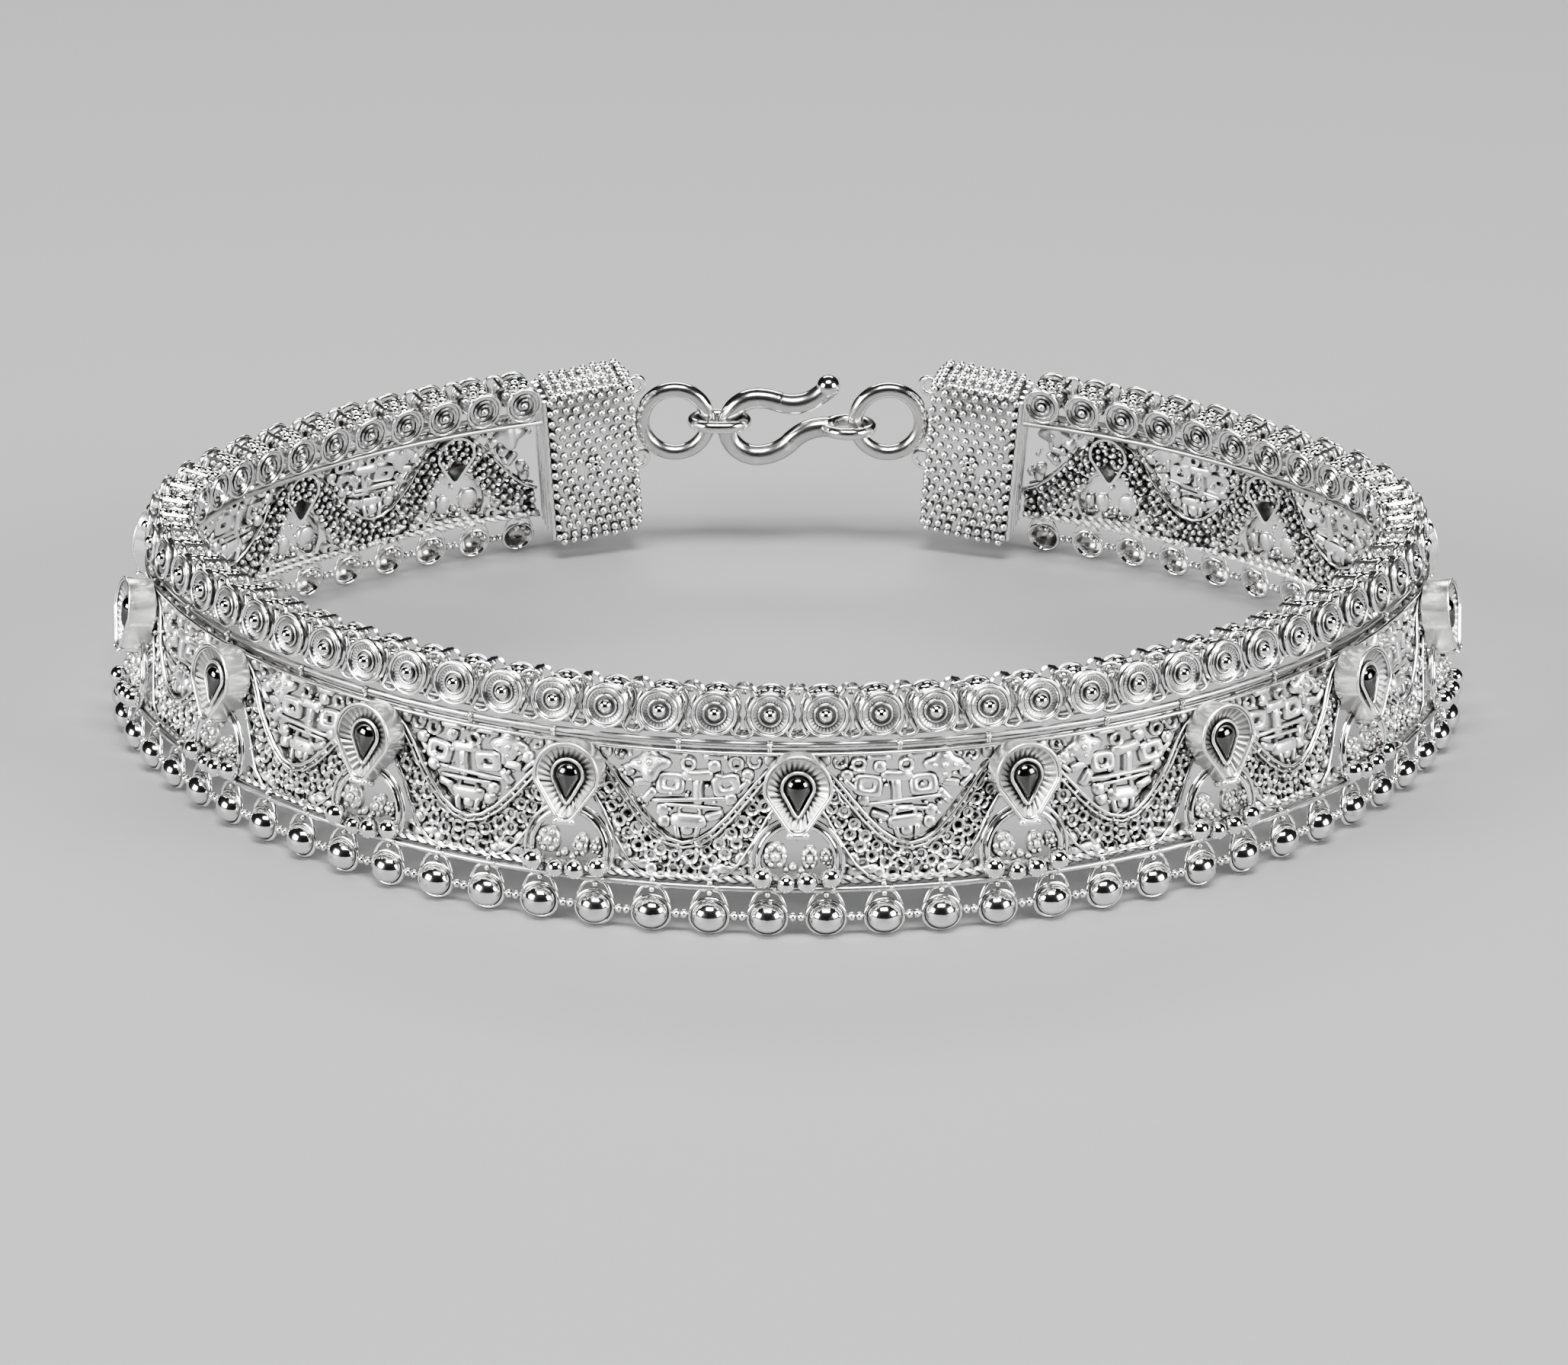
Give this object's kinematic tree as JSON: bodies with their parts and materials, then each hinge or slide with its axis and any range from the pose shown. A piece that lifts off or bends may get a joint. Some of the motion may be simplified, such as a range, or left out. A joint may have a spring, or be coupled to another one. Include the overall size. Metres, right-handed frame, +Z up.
{
  "type": "filigree anklet",
  "caption": "Flared oval silver anklet: pierced wave filigree with teardrop settings between a rosette edge and a bead edge, closed by a hook clasp.",
  "frame": {"origin": "middle of the whole object's box, on the surface that the bead edge stands on", "axes": "+X across the wearer's ankle, the longest way; -Y out of the middle of the front; +Z up, from the bead edge to the rosette edge"},
  "size_m": [0.1038, 0.0802, 0.017],
  "materials": {
    "filigree_silver": "bright silver with a fine granular sheen, slightly darker in its recesses",
    "polished_silver": "polished silver"
  },
  "bodies": {
    "root": {"rosette_border": "filigree_silver", "upper_rail": "filigree_silver", "inner_rail": "filigree_silver", "filigree_field": "filigree_silver", "lower_rail": "filigree_silver", "bead_border": "polished_silver", "drop_setting_01": "filigree_silver", "drop_setting_02": "filigree_silver", "drop_setting_03": "filigree_silver", "drop_setting_04": "filigree_silver", "drop_setting_05": "filigree_silver", "drop_setting_06": "filigree_silver", "drop_setting_07": "filigree_silver", "drop_setting_08": "filigree_silver", "drop_setting_09": "filigree_silver", "drop_setting_10": "filigree_silver", "drop_setting_11": "filigree_silver", "drop_setting_12": "filigree_silver", "drop_setting_13": "filigree_silver", "drop_setting_14": "filigree_silver", "drop_setting_15": "filigree_silver", "drop_pear_01": "polished_silver", "drop_pear_02": "polished_silver", "drop_pear_03": "polished_silver", "drop_pear_04": "polished_silver", "drop_pear_05": "polished_silver", "drop_pear_06": "polished_silver", "drop_pear_07": "polished_silver", "drop_pear_08": "polished_silver", "drop_pear_09": "polished_silver", "drop_pear_10": "polished_silver", "drop_pear_11": "polished_silver", "drop_pear_12": "polished_silver", "drop_pear_13": "polished_silver", "drop_pear_14": "polished_silver", "drop_pear_15": "polished_silver", "end_box_left": "filigree_silver", "end_box_right": "filigree_silver", "end_ring_left": "polished_silver", "end_ring_right": "polished_silver", "clasp_link": "polished_silver", "clasp_hook": "polished_silver"}
  },
  "joints": []
}
